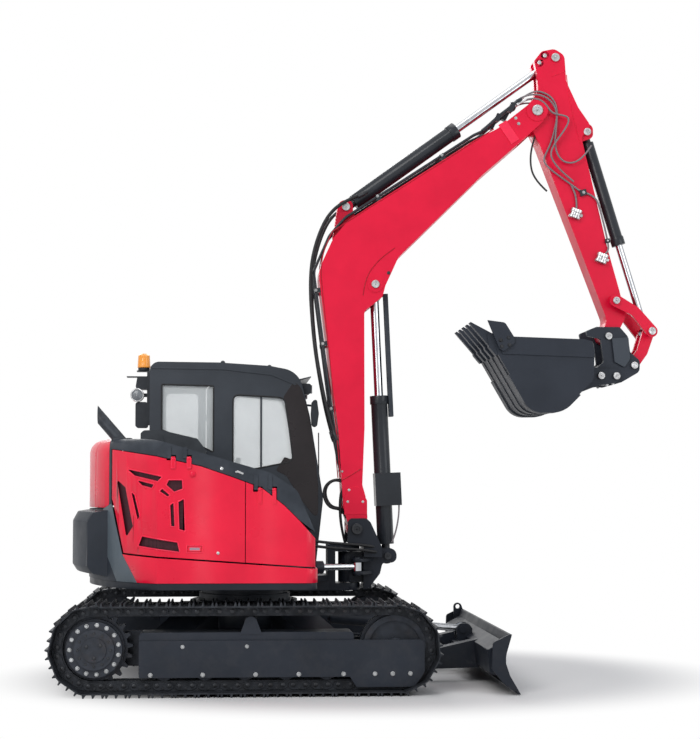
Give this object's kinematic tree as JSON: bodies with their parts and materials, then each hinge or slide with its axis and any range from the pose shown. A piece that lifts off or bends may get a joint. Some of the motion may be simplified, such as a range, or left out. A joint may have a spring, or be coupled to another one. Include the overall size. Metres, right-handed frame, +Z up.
{
  "type": "crawler excavator",
  "caption": "Crawler excavator on steel tracks with a swing boom, arm, bucket on a quick coupler, dozer blade, slewing upper body, cab and opening covers.",
  "frame": {"origin": "on the ground under the middle of the machine's overall box", "axes": "+X forward towards the boom and blade, +Y to the machine's left, +Z up"},
  "size_m": [5.0032, 2.32, 5.3405],
  "materials": {
    "red_paint": "gloss",
    "cab_grey": "satin",
    "frame_grey": "satin",
    "panel_grey": "satin",
    "black_plastic": "matte",
    "track_steel": "worn",
    "cast": "rough",
    "chrome": "polished",
    "glass": "clear",
    "fabric": "woven",
    "engine_steel": "rough",
    "amber": "gloss",
    "pin_steel": "satin"
  },
  "bodies": {
    "undercarriage": {"track_left": "track_steel", "track_right": "track_steel", "sprocket_left": "cast", "sprocket_right": "cast", "idler_left": "cast", "idler_right": "cast", "track_frame_left": "frame_grey", "track_frame_right": "frame_grey", "track_rollers": "cast", "center_frame": "frame_grey", "slew_ring": "frame_grey"},
    "blade": {"blade": "frame_grey"},
    "blade_cylinder_barrel": {"blade_cylinder_barrel": "frame_grey"},
    "blade_cylinder_rod": {"blade_cylinder_rod": "chrome"},
    "swing_bracket": {"swing_bracket": "frame_grey"},
    "swing_cylinder_barrel": {"swing_cylinder_barrel": "frame_grey"},
    "swing_cylinder_rod": {"swing_cylinder_rod": "chrome"},
    "boom": {"boom": "red_paint", "boom_pipes": "black_plastic"},
    "boom_cylinder_barrel": {"boom_cylinder_barrel": "frame_grey"},
    "boom_cylinder_rod": {"boom_cylinder_rod": "chrome"},
    "arm": {"arm": "red_paint"},
    "arm_cylinder_barrel": {"arm_cylinder_barrel": "frame_grey"},
    "arm_cylinder_rod": {"arm_cylinder_rod": "chrome"},
    "bucket_cylinder_barrel": {"bucket_cylinder_barrel": "frame_grey"},
    "bucket_cylinder_rod": {"bucket_cylinder_rod": "chrome"},
    "guide_link": {"guide_link": "red_paint"},
    "bucket_link": {"bucket_link": "red_paint"},
    "bucket": {"quick_coupler": "cab_grey", "bucket": "cab_grey"},
    "cab_door": {"cab_door": "cab_grey", "door_glass": "glass"},
    "rear_hood": {"rear_hood": "red_paint"},
    "side_cover_rear": {"side_cover_rear": "red_paint", "grille_screen": "black_plastic"},
    "side_cover_front": {"side_cover_front": "red_paint"},
    "upper": {"revolving_frame": "frame_grey", "swing_pin": "pin_steel", "lower_skirt": "red_paint", "rear_corner": "red_paint", "hood_top": "black_plastic", "corner_panels": "panel_grey", "exhaust": "black_plastic", "air_intake": "black_plastic", "counterweight": "cab_grey", "rear_weight": "cab_grey", "engine_block": "engine_steel", "cab_right_side": "cab_grey", "cab_left_side": "cab_grey", "cab_front": "cab_grey", "cab_rear": "cab_grey", "cab_roof": "cab_grey", "cab_floor": "cab_grey", "cab_glass": "glass", "cab_fittings": "black_plastic", "beacon": "amber", "controls": "black_plastic", "seat": "fabric"}
  },
  "joints": [
    {"name": "slew", "type": "hinge", "parent": "undercarriage", "child": "upper", "pos_m": [-0.9944, 0, 0.65], "axis": [0, 0, 1], "continuous": true},
    {"name": "boom_swing", "type": "hinge", "parent": "upper", "child": "swing_bracket", "pos_m": [-0.1304, 0, 0.9], "axis": [0, 0, 1], "range_deg": [-50, 60]},
    {"name": "boom_lift", "type": "hinge", "parent": "swing_bracket", "child": "boom", "pos_m": [-0.0654, 0, 1.235], "axis": [0, 1, 0], "range_deg": [0, 95]},
    {"name": "arm_swing", "type": "hinge", "parent": "boom", "child": "arm", "pos_m": [1.4906, 0, 4.793], "axis": [0, -1, 0], "range_deg": [-8, 107]},
    {"name": "bucket_tilt", "type": "hinge", "parent": "arm", "child": "bucket", "pos_m": [2.0866, 0, 2.862], "axis": [0, -1, 0], "range_deg": [-38, 88]},
    {"name": "blade_lift", "type": "hinge", "parent": "undercarriage", "child": "blade", "pos_m": [-0.3544, 0, 0.3], "axis": [0, -1, 0], "range_deg": [-16, 19]},
    {"name": "door_hinge", "type": "hinge", "parent": "upper", "child": "cab_door", "pos_m": [-1.3464, 1.086, 1.7], "axis": [0, 0, 1], "range_deg": [0, 160]},
    {"name": "rear_hood_hinge", "type": "hinge", "parent": "upper", "child": "rear_hood", "pos_m": [-2.0704, 0, 1.966], "axis": [0, 1, 0], "range_deg": [0, 60]},
    {"name": "rear_cover_hinge", "type": "hinge", "parent": "upper", "child": "side_cover_rear", "pos_m": [-1.4944, -1.106, 1.806], "axis": [-1, 0, 0], "range_deg": [0, 70]},
    {"name": "front_cover_hinge", "type": "hinge", "parent": "upper", "child": "side_cover_front", "pos_m": [-0.7344, -1.106, 1.566], "axis": [-1, 0, 0], "range_deg": [0, 70]},
    {"name": "boom_cylinder_barrel_turn", "type": "hinge", "parent": "swing_bracket", "child": "boom_cylinder_barrel", "pos_m": [0.1996, 0, 1.006], "axis": [0, 1, 0], "range_deg": [-0.5, 96.71]},
    {"name": "boom_cylinder_rod_slide", "type": "slide", "parent": "boom_cylinder_barrel", "child": "boom_cylinder_rod", "axis": [-0.0438, 0, 0.999], "range_m": [-0.5197, 0.005]},
    {"name": "arm_cylinder_barrel_turn", "type": "hinge", "parent": "boom", "child": "arm_cylinder_barrel", "pos_m": [-0.1424, 0, 3.956], "axis": [0, -1, 0], "range_deg": [-0.6, 1.79]},
    {"name": "arm_cylinder_rod_slide", "type": "slide", "parent": "arm_cylinder_barrel", "child": "arm_cylinder_rod", "axis": [0.809, 0, 0.5878], "range_m": [-0.8121, 0.0653]},
    {"name": "blade_cylinder_barrel_turn", "type": "hinge", "parent": "undercarriage", "child": "blade_cylinder_barrel", "pos_m": [-0.3544, 0, 0.5], "axis": [0, -1, 0], "range_deg": [-16.71, 19.75]},
    {"name": "blade_cylinder_rod_slide", "type": "slide", "parent": "blade_cylinder_barrel", "child": "blade_cylinder_rod", "axis": [0.9958, 0, -0.092], "range_m": [-0.0708, 0.0604]},
    {"name": "guide_link_turn", "type": "hinge", "parent": "arm", "child": "guide_link", "pos_m": [2.1456, 0, 3.161], "axis": [0, -1, 0], "range_deg": [-30.7, 70.44]},
    {"name": "bucket_link_turn", "type": "hinge", "parent": "guide_link", "child": "bucket_link", "pos_m": [2.4496, 0, 2.903], "axis": [0, -1, 0], "range_deg": [-71.66, 31.23]},
    {"name": "bucket_cylinder_barrel_turn", "type": "hinge", "parent": "arm", "child": "bucket_cylinder_barrel", "pos_m": [1.9336, 0, 4.627], "axis": [0, -1, 0], "range_deg": [-3.56, 7.6]},
    {"name": "bucket_cylinder_rod_slide", "type": "slide", "parent": "bucket_cylinder_barrel", "child": "bucket_cylinder_rod", "axis": [0.2867, 0, -0.958], "range_m": [-0.4181, 0.1834]},
    {"name": "swing_cylinder_barrel_turn", "type": "hinge", "parent": "upper", "child": "swing_cylinder_barrel", "pos_m": [-0.9344, -0.48, 0.925], "axis": [0, 0, 1], "range_deg": [-1.04, 0.95]},
    {"name": "swing_cylinder_rod_slide", "type": "slide", "parent": "swing_cylinder_barrel", "child": "swing_cylinder_rod", "axis": [0.956, 0.2932, 0], "range_m": [-0.1711, 0.2043]}
  ],
  "couplings": [
    {"joint": "boom_cylinder_barrel_turn", "follows": "boom_lift", "ratio": 1.0128},
    {"joint": "boom_cylinder_rod_slide", "follows": "boom_lift", "m_per_rad": -0.31041},
    {"joint": "arm_cylinder_barrel_turn", "follows": "arm_swing", "ratio": 0.012056},
    {"joint": "arm_cylinder_rod_slide", "follows": "arm_swing", "m_per_rad": -0.43217},
    {"joint": "blade_cylinder_barrel_turn", "follows": "blade_lift", "ratio": 1.013},
    {"joint": "blade_cylinder_rod_slide", "follows": "blade_lift", "m_per_rad": -0.19851},
    {"joint": "guide_link_turn", "follows": "bucket_tilt", "ratio": 0.79481},
    {"joint": "bucket_link_turn", "follows": "bucket_tilt", "ratio": -0.80867},
    {"joint": "bucket_cylinder_barrel_turn", "follows": "bucket_tilt", "ratio": 0.080655},
    {"joint": "bucket_cylinder_rod_slide", "follows": "bucket_tilt", "m_per_rad": -0.26898},
    {"joint": "swing_cylinder_barrel_turn", "follows": "boom_swing", "ratio": -0.008977},
    {"joint": "swing_cylinder_rod_slide", "follows": "boom_swing", "m_per_rad": 0.19031}
  ]
}
